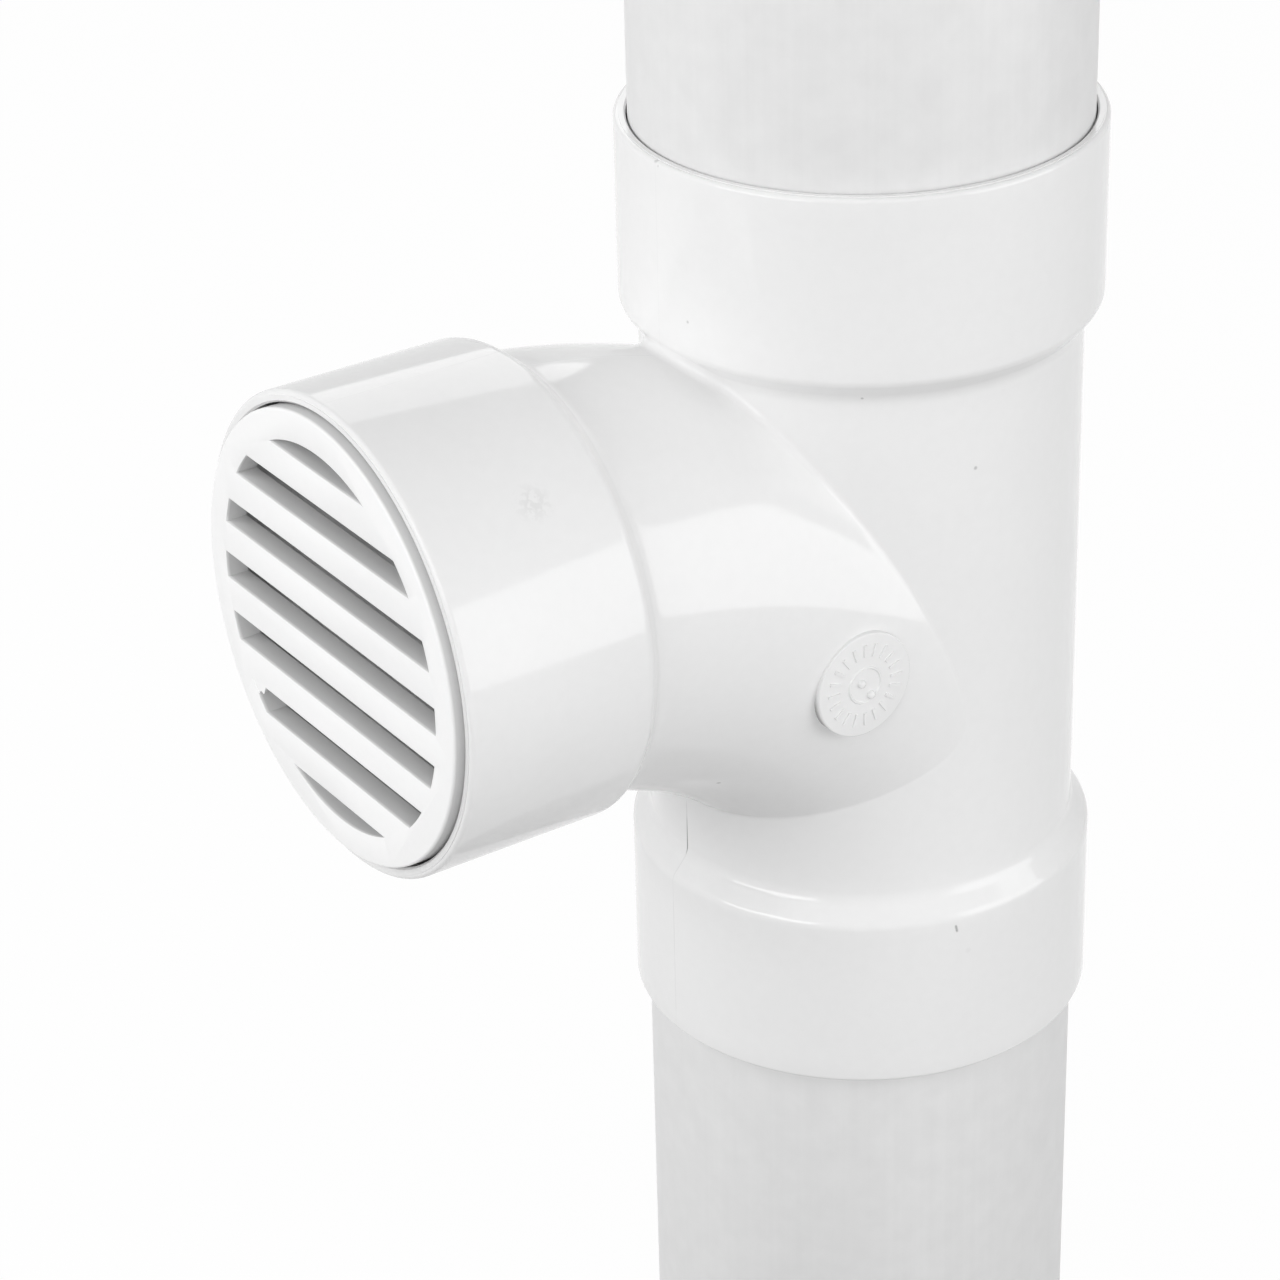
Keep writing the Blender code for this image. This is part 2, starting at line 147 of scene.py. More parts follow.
SMUDGE_CORE, SMUDGE_RADIUS, SMUDGE_DARKNESS = 0.001, 0.0045, 0.09

# Parting line: where it is full and where it ends, to one side; its height; its darkness above and
# below, and the two depths under the branch's axis between which that changes
LINE_FULL, LINE_END, LINE_HEIGHT = 0.00007, 0.0002, 0.00001
FAINT_ABOVE, FAINT_BELOW = 0.02, 0.09
FAINT_FROM, FAINT_TO = 0.06, 0.078

# Open stretch of the parting line: its middle under the branch's axis, where it is full and where it
# ends, up and down, its darkness, and how far in front of the run's axis it is full and ends
OPEN_MIDDLE, OPEN_FULL, OPEN_END, OPEN_DARKNESS = 0.0695, 0.005, 0.0065, 0.75
OPEN_FRONT, OPEN_FRONT_END = 0.043, 0.04

# Painted shade on the slot walls and side wall behind the grille's face: where it starts and ends behind the
# face, and its share of the tone
WALL_SHADE_START, WALL_SHADE_END, WALL_SHADE_TONE = 0.0001, 0.0007, 0.68

# Painted shade round the pad's foot: from its face down, below and above its middle, and its darkness
PAD_SHADE_DEEP, PAD_SHADE_SHALLOW, PAD_SHADE_LOW, PAD_SHADE_HIGH = 0.0014, 0.0004, 0.002, 0.003
PAD_SHADE_DARKNESS = 0.5

# Flash left in a corner of the sixth slot: outline as x and height from the branch's axis
FLASH_OUTLINE = (
    (-0.0322, -0.0219), (-0.0269, -0.0219), (-0.0268, -0.0225), (-0.0272, -0.0232), (-0.0274, -0.0238),
    (-0.02795, -0.02425), (-0.0284, -0.0239), (-0.0291, -0.0241), (-0.0297, -0.0251), (-0.0315, -0.0242),
)
FLASH_DEPTH = (0.0001, 0.0009)

# Middles of the two pips on the pad: along the branch and up, from the pad's middle
PIPS = ((-0.0009, 0.0006), (0.0013, -0.0024))

# Kinds of node socket for the kinds of value that a Geometry Nodes tree takes
SOCKET_KINDS = {int: "NodeSocketInt", float: "NodeSocketFloat", tuple: "NodeSocketVector"}


def length(name, description, default):
    return FloatProperty(name=name, description=description, default=default, min=0, precision=5,
                         unit="LENGTH")


def share(name, description, default):
    return FloatProperty(name=name, description=description, default=default, min=0, max=1, subtype="FACTOR")


def count(name, description, default, least=1):
    return IntProperty(name=name, description=description, default=default, min=least)


def colour(name, description, default):
    return FloatVectorProperty(name=name, description=description, default=default, min=0, max=1, size=3,
                               subtype="COLOR")


class TeeSizes(bpy.types.PropertyGroup):
    """Sizes of the moulding, the grille and the pipes."""
    pipe_radius: length("Pipe radius", "Outer radius of the drain pipe", UPPER_HIGH.x)
    pipe_wall: length("Pipe wall", "Wall of the drain pipe", 0.0022)
    pipe_fit: length("Pipe fit", "Clearance of the pipe in its socket", 0.0003)
    pipe_edge: length("Pipe edge", "Rounding of the cut pipe ends", 0.0003)
    socket_wall: length("Socket wall", "Wall of the sockets", 0.0025)
    run_socket_depth: length("Run socket depth", "Depth of the two sockets of the run", 0.0375)
    branch_socket_depth: length("Branch socket depth", "Depth of the branch socket", 0.0392)
    shoulder_height: length("Shoulder height", "Length of the cone between socket and body", 0.0044)
    stop_ledge: length("Stop ledge", "Step inside a socket that stops the pipe", 0.004)
    body_wall: length("Body wall", "Wall between the sockets", 0.0027)
    rim_band: length("Rim band", "Width of the lower band at a rim's outer edge", 0.0011)
    rim_step: length("Rim step", "How much lower the outer band of a rim lies", 0.00014)
    rim_round: length("Rim rounding", "Rounding of the rims' outer edge", 0.0009)
    lead_in: length("Lead-in", "Chamfer at the mouth of a socket", 0.0004)
    shoulder_edge_round: length("Shoulder edge rounding", "Rounding between socket and shoulder", 0.003)
    shoulder_foot_round: length("Shoulder foot rounding", "Hollow between shoulder and body", 0.0045)
    branch_reach: length("Branch reach", "From the run's axis to the branch rim", 0.122)
    branch_inset: length("Branch inset", "How much slimmer the branch is than the run", 0.0005)
    tip_angle: FloatProperty(name="Tip angle", description="Slope of the branch where it leaves its socket",
                             default=0.156, min=0, max=1, subtype="ANGLE")
    entry_angle: FloatProperty(name="Entry angle", description="Slope of the branch at the run's axis",
                               default=0.857, min=0, max=1.5, subtype="ANGLE")
    tip_drop: length("Tip drop", "Drop of the bend's start below the socket's axis", 0.0004)
    crotch_round: length("Crotch rounding", "Hollow between branch and run", 0.0015)
    pad_radius: length("Pad radius", "Radius of the marking pad", 0.0109)
    pad_proud: length("Pad height", "How far the marking pad stands out of the branch", 0.0006)
    pad_forward: length("Pad forward", "From the run's axis to the pad's middle", 0.0318)
    pad_drop: length("Pad drop", "From the branch's axis down to the pad's middle", 0.0205)
    pad_ring: length("Pad ring", "Radius of the ring round the pad's middle", 0.0037)
    pad_relief: length("Pad relief", "Height of the ring, pips and ticks on the pad", 0.0003)
    pip_radius: length("Pip radius", "Radius of the two pips in the pad's ring", 0.00085)
    tick_circle: length("Tick circle", "Radius of the circle on which the pad's ticks stand", 0.0074)
    tick_length: length("Tick length", "Length of a tick", 0.0026)
    tick_width: length("Tick width", "Width of a tick", 0.0006)
    tick_count: count("Tick count", "Number of ticks round the pad", 20, 3)
    grille_plate: length("Grille plate", "Thickness of the slotted plate", 0.0044)
    grille_gap: length("Grille gap", "Gap round the grille's head", 0.0005)
    grille_fit: length("Grille fit", "Clearance of the grille's skirt", 0.0003)
    grille_head_depth: length("Grille head depth", "Depth of the relieved head", 0.006)
    grille_skirt_wall: length("Grille skirt wall", "Wall of the grille's skirt", 0.0022)
    grille_edge: length("Grille edge", "Rounding of the grille's outer edge", 0.0005)
    slot_edge: length("Slot edge", "Rounding of the slots' front edges", 0.00025)
    slot_width: length("Slot width", "Height of one slot", 0.0057)
    slot_pitch: length("Slot pitch", "From one slot to the next", 0.0125)
    slot_field_radius: length("Slot field radius", "Radius of the circle that ends the slots", 0.0387)
    slot_count: count("Slot count", "Number of slots", 7)
    sides: count("Sides", "Facets round the moulding and the pipes", 192, 24)
    corner_steps: count("Corner steps", "Facets across a rounding", 6)


class TeeFinish(bpy.types.PropertyGroup):
    """Colours and gloss of the plastics and of the stage."""
    tee_colour: colour("Tee colour", "Colour of the moulding", (0.86, 0.86, 0.86))
    tee_roughness: share("Tee roughness", "Roughness of the moulding", 0.085)
    grille_colour: colour("Grille colour", "Colour of the grille", (0.95, 0.95, 0.95))
    grille_roughness: share("Grille roughness", "Roughness of the grille", 0.34)
    pipe_colour: colour("Pipe colour", "Colour of the pipe lengths", (0.78, 0.78, 0.78))
    pipe_roughness: share("Pipe roughness", "Roughness of the pipe lengths", 0.42)
    floor_colour: colour("Floor colour", "Colour of the pale floor", (0.92, 0.92, 0.92))
    floor_bounce: colour("Floor bounce", "Colour in which the floor lights the tee", (0.35, 0.35, 0.35))


class TeeShape:
    """Radii, reaches and heights of the moulding that follow from the sizes."""

    def __init__(self, sizes):
        self.sizes = sizes
        self.socket_bore = sizes.pipe_radius + sizes.pipe_fit
        self.socket_radius = self.socket_bore + sizes.socket_wall
        self.body_bore = self.socket_bore - sizes.stop_ledge
        self.body_radius = self.body_bore + sizes.body_wall
        self.branch_radius = self.body_radius - sizes.branch_inset
        self.branch_bore = self.branch_radius - sizes.body_wall
        self.ledge = sizes.branch_reach - sizes.branch_socket_depth
        self.foot = self.ledge - sizes.shoulder_height
        self.bend_radius = self.foot / (sin(sizes.entry_angle) - sin(sizes.tip_angle))
        self.bend_forward = self.foot + self.bend_radius * sin(sizes.tip_angle)
        self.bend_below = sizes.tip_drop + self.bend_radius * cos(sizes.tip_angle)
        self.upper_rim = TEE_HIGH.z - BRANCH_Z
        self.lower_rim = TEE_LOW.z - BRANCH_Z

    def bend_place(self, travel):
        """Centre line of the bend: forward, height and slope after a length of travel from its foot."""
        straight, bent = min(travel, 0.0), max(travel, 0.0)
        tip = self.sizes.tip_angle
        slope = tip + bent / self.bend_radius
        forward = -self.bend_forward + straight * cos(tip) + self.bend_radius * sin(slope)
        height = -self.bend_below - straight * sin(tip) + self.bend_radius * cos(slope)
        return forward, height, slope

    def on_bend(self, around, travel, radius):
        """Point of the bent tube; around is measured from its top towards +X."""
        forward, height, slope = self.bend_place(travel)
        across = radius * cos(around)
        return Vector((radius * sin(around), forward + across * sin(slope), height + across * cos(slope)))

    def first_meeting(self, clearance, travel=0.0):
        """First travel along the bend at which a clearance closes, or where it is least."""
        least, at_least = clearance(travel), travel
        while self.bend_place(travel)[0] < 0:
            ahead = clearance(travel + SEARCH_STEP)
            if ahead <= 0:
                low, high = travel, travel + SEARCH_STEP
                for _ in range(HALVINGS):
                    middle = (low + high) / 2
                    low, high = (middle, high) if clearance(middle) > 0 else (low, middle)
                return high
            if ahead < least:
                least, at_least = ahead, travel + SEARCH_STEP
            travel += SEARCH_STEP
        return at_least

    def leaves_plane(self, around, radius, reach):
        return self.first_meeting(lambda travel: -reach - self.on_bend(around, travel, radius).y, -radius)


def circle(sides):
    return [2 * pi * side / sides for side in range(sides)]


def quads(near, far):
    """Quads between two closed rings."""
    following = near[1:] + near[:1], far[1:] + far[:1]
    return list(zip(near, following[0], following[1], far))


def arc_between(centre, start, end, steps):
    first, last = start - centre, end - centre
    return [centre + first.slerp(last, step / steps) * first.length for step in range(steps + 1)]


def rounded(corners, steps):
    """Outline through corners given as (place, rounding); each rounding becomes a tangent arc."""
    points = []
    for index, (here, rounding) in enumerate(corners):
        if rounding == 0:
            points.append(here)
            continue
        back = (corners[index - 1][0] - here).normalized()
        ahead = (corners[(index + 1) % len(corners)][0] - here).normalized()
        half = back.angle(ahead) / 2
        centre = here + (back + ahead).normalized() * (rounding / sin(half))
        reach = rounding * cos(half) / sin(half)
        points += arc_between(centre, here + back * reach, here + ahead * reach, steps)
    return points


def profile(corners, steps):
    """Rounded outline of a turned piece from corners given as radius, place along the axis and rounding."""
    return rounded([(Vector((radius, along)), rounding) for radius, along, rounding in corners], steps)


def with_rows(outline):
    points = [outline[0]]
    for start, end in zip(outline, outline[1:]):
        pieces = max(1, ceil((end - start).length / ROW_STEP))
        points += [start.lerp(end, piece / pieces) for piece in range(1, pieces + 1)]
    return points


def run_outside(shape):
    """Outer outline of the run, as (radius, height), from the upper rim down to the lower rim."""
    sizes = shape.sizes
    upper, lower = shape.upper_rim, shape.lower_rim
    depth, cone = sizes.run_socket_depth, sizes.shoulder_height
    edge, foot = sizes.shoulder_edge_round, sizes.shoulder_foot_round
    mouth, band = shape.socket_bore + sizes.lead_in, shape.socket_radius - sizes.rim_band
    step = sizes.rim_step
    return with_rows(profile([
        (mouth, upper, 0),
        (band, upper, 0),
        (band, upper - step, 0),
        (shape.socket_radius, upper - step, sizes.rim_round),
        (shape.socket_radius, upper - depth, edge),
        (shape.body_radius, upper - depth - cone, foot),
        (shape.body_radius, lower + depth + cone, foot),
        (shape.socket_radius, lower + depth, edge),
        (shape.socket_radius, lower + step, sizes.rim_round),
        (band, lower + step, 0),
        (band, lower, 0),
        (mouth, lower, 0),
    ], sizes.corner_steps))


def run_inside(shape):
    """Inner outline of the run, from the lower lead-in up over the two pipe stops to the upper one."""
    sizes = shape.sizes
    upper, lower, depth = shape.upper_rim, shape.lower_rim, sizes.run_socket_depth
    return with_rows([
        Vector((shape.socket_bore, lower + sizes.lead_in)),
        Vector((shape.socket_bore, lower + depth)),
        Vector((shape.body_bore, lower + depth)),
        Vector((shape.body_bore, upper - depth)),
        Vector((shape.socket_bore, upper - depth)),
        Vector((shape.socket_bore, upper - sizes.lead_in)),
    ])


class Outline:
    """A turned outline that can be asked for its nearest place."""

    def __init__(self, points):
        self.points = np.array(points)
        self.start = self.points[:-1]
        self.run = self.points[1:] - self.start
        self.squared = (self.run ** 2).sum(axis=1)
        self.lengths = np.concatenate(([0.0], np.cumsum(np.sqrt(self.squared))))
        along = self.run / np.sqrt(self.squared)[:, None]
        along = np.concatenate((along[:1], (along[:-1] + along[1:]) / 2, along[-1:]))
        along /= np.linalg.norm(along, axis=1)[:, None]
        self.normals = np.column_stack((-along[:, 1], along[:, 0]))

    def nearest(self, radius, height):
        """Signed distance (plus is outside), the nearest place and its arc length."""
        offset = np.array((radius, height)) - self.start
        part = np.clip((offset * self.run).sum(axis=1) / self.squared, 0, 1)
        away = offset - self.run * part[:, None]
        gaps = np.hypot(away[:, 0], away[:, 1])
        best = int(gaps.argmin())
        side = -away[best, 0] * self.run[best, 1] + away[best, 1] * self.run[best, 0]
        place = self.start[best] + self.run[best] * part[best]
        span = self.lengths[best + 1] - self.lengths[best]
        return (gaps[best] if side >= 0 else -gaps[best]), place, self.lengths[best] + span * part[best]

    def normal_at(self, lengths):
        normals = np.column_stack([np.interp(lengths, self.lengths, self.normals[:, k]) for k in (0, 1)])
        return normals / np.linalg.norm(normals, axis=1)[:, None]


def crotch(shape, around, outline):
    """Rounding between branch and run at one place around the branch: travel, arc and skin place."""
    rounding = shape.sizes.crotch_round
    ball = shape.branch_radius + rounding

    def clearance(travel):
        place = shape.on_bend(around, travel, ball)
        return outline.nearest(hypot(place.x, place.y), place.z)[0] - rounding

    travel = shape.first_meeting(clearance)
    centre = shape.on_bend(around, travel, ball)
    radius = hypot(centre.x, centre.y)
    _, place, at = outline.nearest(radius, centre.z)
    on_run = Vector((centre.x * place[0] / radius, centre.y * place[0] / radius, place[1]))
    on_branch = shape.on_bend(around, travel, shape.branch_radius)
    return travel, arc_between(centre, on_branch, on_run, shape.sizes.corner_steps), at


def bore_meeting(shape, around):
    """Travel at which the branch bore breaks into the run bore, and the point where it does."""
    def clearance(travel):
        place = shape.on_bend(around, travel, shape.branch_bore)
        return hypot(place.x, place.y) - shape.body_bore

    travel = shape.first_meeting(clearance)
    place = shape.on_bend(around, travel, shape.branch_bore)
    scale = shape.body_bore / hypot(place.x, place.y)
    return travel, Vector((place.x * scale, place.y * scale, place.z))


def branch_line(shape, around, mouth, root):
    """One line along the branch wall: out along its bore, over the rim and back along its outside."""
    sizes = shape.sizes

    def level(radius, reach):
        return Vector((radius * sin(around), -reach, radius * cos(around)))

    bore_start = shape.leaves_plane(around, shape.branch_bore, shape.ledge)
    foot = shape.leaves_plane(around, shape.branch_radius, shape.foot)
    points = [mouth[1]]
    for row in range(BEND_ROWS - 1, -1, -1):
        travel = bore_start + (mouth[0] - bore_start) * row / BEND_ROWS
        points.append(shape.on_bend(around, travel, shape.branch_bore))
    start = foot + sizes.shoulder_foot_round
    band = shape.socket_radius - sizes.rim_band
    points += rounded([
        (level(shape.socket_bore, shape.ledge), 0),
        (level(shape.socket_bore, sizes.branch_reach - sizes.lead_in), 0),
        (level(shape.socket_bore + sizes.lead_in, sizes.branch_reach), 0),
        (level(band, sizes.branch_reach), 0),
        (level(band, sizes.branch_reach - sizes.rim_step), 0),
        (level(shape.socket_radius, sizes.branch_reach - sizes.rim_step), sizes.rim_round),
        (level(shape.socket_radius, shape.ledge), sizes.shoulder_edge_round),
        (shape.on_bend(around, foot, shape.branch_radius), sizes.shoulder_foot_round),
        (shape.on_bend(around, start, shape.branch_radius), 0),
    ], sizes.corner_steps)
    for row in range(1, BEND_ROWS):
        travel = start + (root[0] - start) * row / BEND_ROWS
        points.append(shape.on_bend(around, travel, shape.branch_radius))
    return points + root[1]


def inside(points, loop):
    """Which flat points lie inside a closed loop, by counting the edges to their right."""
    start, end = loop, np.roll(loop, -1, axis=0)
    x, y = points[:, :1], points[:, 1:]
    spans = (start[:, 1] > y) != (end[:, 1] > y)
    rise = np.where(end[:, 1] == start[:, 1], 1.0, end[:, 1] - start[:, 1])
    crossing = start[:, 0] + (y - start[:, 1]) * (end[:, 0] - start[:, 0]) / rise
    return (spans & (x < crossing)).sum(axis=1) % 2 == 1


def gap_to(points, loop):
    """Distance of flat points from a closed loop."""
    run = np.roll(loop, -1, axis=0) - loop
    offset = points[:, None, :] - loop[None]
    part = np.clip((offset * run).sum(axis=2) / (run ** 2).sum(axis=1), 0, 1)
    away = offset - run * part[..., None]
    return np.hypot(away[..., 0], away[..., 1]).min(axis=1)


class Skin:
    """A mesh in the making: places, faces and the normals that are known exactly."""

    def __init__(self):
        self.places, self.faces, self.normals = [], [], {}

    def add(self, places):
        start = len(self.places)
        self.places += [tuple(place) for place in places]
        return list(range(start, start + len(places)))

    def window(self, outline, radius, turns, rows, loop, flat_loop):
        """Skins turned rows all round and leaves out the window that a loop bounds."""
        sides = len(turns)
        sector = 2 * pi * radius / sides
        first = floor(flat_loop[:, 0].min() / sector) - 2
        last = ceil(flat_loop[:, 0].max() / sector) + 2
        margin = sector / 2
        top = max(i for i, at in enumerate(outline.lengths) if at < flat_loop[:, 1].min() - margin)
        bottom = min(i for i, at in enumerate(outline.lengths) if at > flat_loop[:, 1].max() + margin)
        for row in range(len(rows) - 1):
            for side, (near, after, far_after, far) in enumerate(quads(rows[row], rows[row + 1])):
                if not (top <= row < bottom and first <= side < last):
                    self.faces.append((near, far, far_after, after))
        grid = [(row, side) for row in range(top, bottom + 1) for side in range(first, last + 1)]
        flat = np.array([(side * sector, outline.lengths[row]) for row, side in grid])
        border = np.array([row in (top, bottom) or side in (first, last) for row, side in grid])
        keep = border | (~inside(flat, flat_loop) & (gap_to(flat, flat_loop) > margin))
        places = {cell: index for index, cell in enumerate(cell for cell, kept in zip(grid, keep) if kept)}
        corners = [rows[row][side % sides] for row, side in places]
        edges = [(places[row, side], places[row, side + 1])
                 for row in (top, bottom) for side in range(first, last)]
        edges += [(places[row, side], places[row + 1, side])
                  for side in (first, last) for row in range(top, bottom)]
        start = len(corners)
        edges += [(start + index, start + (index + 1) % len(loop)) for index in range(len(loop))]
        points = [Vector(place) for place in flat[keep]] + [Vector(place) for place in flat_loop]
        corners += loop
        found, _, faces, origins, _, _ = delaunay_2d_cdt(points, edges, [], 0, 1e-9)
        middles = np.array([np.mean([found[index] for index in face], axis=0) for face in faces])
        for face, hidden in zip(faces, inside(middles, flat_loop)):
            if not hidden:
                self.faces.append([corners[origins[index][0]] for index in face])

    def turned(self, outline, turns):
        """Rows of a turned outline, counted from its back towards +X, with their normals."""
        rows = []
        for (radius, height), (out, up) in zip(outline.points, outline.normals):
            row = self.add([(radius * sin(turn), radius * cos(turn), height) for turn in turns])
            for index, turn in zip(row, turns):
                self.normals[index] = (out * sin(turn), out * cos(turn), up)
            rows.append(row)
        return rows


def turn_of(place):
    """Angle of a point around the run, from its back, in the same sense as the turned rows."""
    turn = np.arctan2(place[0], place[1])
    return turn if turn >= 0 else turn + 2 * pi


def tee_skin(shape):
    """The moulding as one closed skin, in the frame of the run's and the branch's axes."""
    skin, turns = Skin(), circle(shape.sizes.sides)
    outside, inner = Outline(run_outside(shape)), Outline(run_inside(shape))
    outside_rows, inner_rows = skin.turned(outside, turns), skin.turned(inner, turns)
    roots = [crotch(shape, turn, outside) for turn in turns]
    mouths = [bore_meeting(shape, turn) for turn in turns]
    lines = [branch_line(shape, *parts) for parts in zip(turns, mouths, roots)]
    rings = [skin.add(ring) for ring in zip(*lines)]
    for near, far in zip(rings, rings[1:]):
        skin.faces += quads(near, far)
    mouth_flat = np.array([(turn_of(place) * shape.body_bore, inner.nearest(shape.body_bore, place.z)[2])
                           for _, place in mouths])
    root_flat = np.array([(turn_of(arc[-1]) * shape.body_radius, at) for _, arc, at in roots])
    skin.window(inner, shape.body_bore, turns, inner_rows, rings[0], mouth_flat)
    skin.window(outside, shape.body_radius, turns, outside_rows, rings[-1], root_flat)
    skin.faces += quads(outside_rows[-1], inner_rows[0])
    skin.faces += quads(inner_rows[-1], outside_rows[0])
    for index, (out, up), (across, _) in zip(rings[-1], outside.normal_at(root_flat[:, 1]), root_flat):
        turn = across / shape.body_radius
        skin.normals[index] = (out * sin(turn), out * cos(turn), up)
    return skin


def piece(name, data, material, slot_name, *nodes):
    """Turns a mesh in the row frame into a finished piece of the object."""
    data.materials.clear()
    data.materials.append(material)
    item = bpy.data.objects.new(name, data)
    bpy.context.scene.collection.objects.link(item)
    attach(item, "root")
    if nodes:
        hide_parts(*nodes)


def mesh_of(builder, name):
    """Mesh of a bmesh with outward faces, moved from the tee's axes into the row frame."""
    bmesh.ops.recalc_face_normals(builder, faces=builder.faces)
    if builder.calc_volume(signed=True) < 0:
        bmesh.ops.reverse_faces(builder, faces=builder.faces)
    bmesh.ops.translate(builder, vec=HOME, verts=builder.verts)
    data = bpy.data.meshes.new(name)
    builder.to_mesh(data)
    builder.free()
    data.shade_smooth()
    data.set_sharp_from_angle(angle=SHARP_ANGLE)
    return data


def lathe(builder, outline, turns, place):
    """Turns a closed outline of (radius, along); place puts (across, up, along) in space."""
    rows = []
    for radius, along in outline:
        if radius == 0:
            rows.append([builder.verts.new(place(0, 0, along))] * len(turns))
            continue
        rows.append([builder.verts.new(place(radius * sin(turn), radius * cos(turn), along))
                     for turn in turns])
    for near, far in zip(rows, rows[1:] + rows[:1]):
        if near[0] is near[1] and far[0] is far[1]:
            continue
        for quad in quads(near, far):
            builder.faces.new(list(dict.fromkeys(quad)))


class Nodes:
    """Short way to lay out a node tree: makes nodes and links their inputs."""

    def __init__(self, tree):
        self.tree = tree

    def add(self, kind, inputs=None, **settings):
        item = self.tree.nodes.new(kind)
        for name, value in settings.items():
            setattr(item, name, value)
        for name, value in (inputs or {}).items():
            socket = item.inputs[name]
            if isinstance(value, bpy.types.NodeSocket):
                self.tree.links.new(value, socket)
            else:
                socket.default_value = value
        return item

    def math(self, operation, first, second=0.0):
        item = self.add("ShaderNodeMath", {0: first, 1: second}, operation=operation)
        return item.outputs[0]

    def plus(self, first, second):
        return self.math("ADD", first, second)

    def times(self, first, second):
        return self.math("MULTIPLY", first, second)

    def ramp(self, value, low, high, to_low, to_high):
        item = self.add("ShaderNodeMapRange", {"Value": value, "From Min": low, "From Max": high,
                                               "To Min": to_low, "To Max": to_high}, clamp=True)
        return item.outputs[0]

    def noise(self, place, scale, detail):
        return self.add("ShaderNodeTexNoise", {"Vector": place, "Scale": scale, "Detail": detail}).outputs[0]

    def swing(self, noise, spread, middle=0.0):
        """A noise stretched to middle minus spread up to middle plus spread."""
        return self.ramp(noise, 0.3, 0.7, middle - spread, middle + spread)

    def spot(self, place, middle, inner, outer, strength):
        """A round spot: full strength out to the inner radius, nothing from the outer one."""
        gap = self.add("ShaderNodeVectorMath", {0: place, 1: middle}, operation="DISTANCE").outputs[1]
        return self.ramp(gap, inner, outer, strength, 0.0)

    def darkened(self, tone, dark):
        return self.times(tone, self.math("SUBTRACT", 1.0, dark))


def plastic(name, base, roughness, surface):
    """Plastic whose tone, gloss and height come from a surface function; one already made is used again."""
    if name in bpy.data.materials:
        return bpy.data.materials[name]
    material = bpy.data.materials.new(name)
    material.use_nodes = True
    material.diffuse_color = (*base, 1.0)
    nodes = Nodes(material.node_tree)
    shader = material.node_tree.nodes["Principled BSDF"]
    shader.inputs["Base Color"].default_value = (*base, 1.0)
    shader.inputs["Roughness"].default_value = roughness
    shader.inputs["IOR"].default_value = 1.5
    place = nodes.add("ShaderNodeTexCoord").outputs["Object"]
    tone, gloss, height = surface(nodes, place)
    toned = nodes.add("ShaderNodeVectorMath", {0: base, "Scale": tone}, operation="SCALE").outputs[0]
    bump = nodes.add("ShaderNodeBump", {"Height": height, "Distance": 1.0, "Strength": 1.0}).outputs[0]
    links = {"Base Color": toned, "Roughness": nodes.plus(gloss, roughness), "Normal": bump}
    for label, value in links.items():
        nodes.tree.links.new(value, shader.inputs[label])
    return material


def moulded(nodes, place):
    """Flow marks, mottling and grain of a moulding, as its tone, gloss and height."""
    flow, mottle = nodes.noise(place, FLOW, 3.0), nodes.noise(place, MOTTLE, 2.0)
    grain = nodes.noise(place, GRAIN, 2.0)
    tone = nodes.plus(nodes.swing(flow, FLOW_TONE, 1.0), nodes.swing(mottle, MOTTLE_TONE))
    gloss = nodes.plus(nodes.swing(flow, FLOW_GLOSS), nodes.swing(grain, GRAIN_GLOSS))
    height = nodes.plus(nodes.times(flow, FLOW_HEIGHT), nodes.times(grain, GRAIN_HEIGHT))
    return tone, gloss, height


def tee_surface(nodes, place):
    """The tee's moulding, with the mould's parting line in its middle plane, its specks and its smudge."""
    tone, gloss, height = moulded(nodes, place)
    across, along, up = nodes.add("ShaderNodeSeparateXYZ", {0: place}).outputs
    line = nodes.ramp(nodes.math("ABSOLUTE", across), LINE_FULL, LINE_END, 1.0, 0.0)
    worn = nodes.ramp(nodes.noise(place, 90.0, 2.0), 0.38, 0.56, 0.2, 1.0)
    from_open = nodes.math("ABSOLUTE", nodes.math("SUBTRACT", up, BRANCH_Z - OPEN_MIDDLE))
    at_front = nodes.ramp(along, RUN_Y - OPEN_FRONT, RUN_Y - OPEN_FRONT_END, 1.0, 0.0)
    opened = nodes.times(nodes.ramp(from_open, OPEN_FULL, OPEN_END, OPEN_DARKNESS, 0.0), at_front)
    faint = nodes.ramp(up, BRANCH_Z - FAINT_TO, BRANCH_Z - FAINT_FROM, FAINT_BELOW, FAINT_ABOVE)
    dark = nodes.times(nodes.times(line, worn), nodes.plus(opened, faint))
    for offset, radius, darkness in SPECKS:
        spot = nodes.spot(place, HOME + Vector(offset), radius * 0.4, radius, darkness)
        dark = nodes.plus(dark, spot)
    blotches = nodes.ramp(nodes.noise(place, 900.0, 2.0), 0.44, 0.56, 0.0, SMUDGE_DARKNESS)
    smudged = nodes.spot(place, HOME + Vector(SMUDGE), SMUDGE_CORE, SMUDGE_RADIUS, 1.0)
    smudge = nodes.times(blotches, smudged)
    raised = nodes.plus(height, nodes.times(line, LINE_HEIGHT))
    return nodes.darkened(tone, nodes.plus(dark, smudge)), gloss, raised


def grille_surface(nodes, place):
    """The grille's moulding, with painted shade on its walls behind the polished face."""
    tone, gloss, height = moulded(nodes, place)
    along = nodes.add("ShaderNodeSeparateXYZ", {0: place}).outputs[1]
    # painted shade: the tone falls away on every wall behind the grille's face, the slot walls and its side
    wall_shade = nodes.ramp(along, GRILLE_LOW.y + WALL_SHADE_START, GRILLE_LOW.y + WALL_SHADE_END, 1.0, WALL_SHADE_TONE)
    return nodes.times(tone, wall_shade), gloss, height


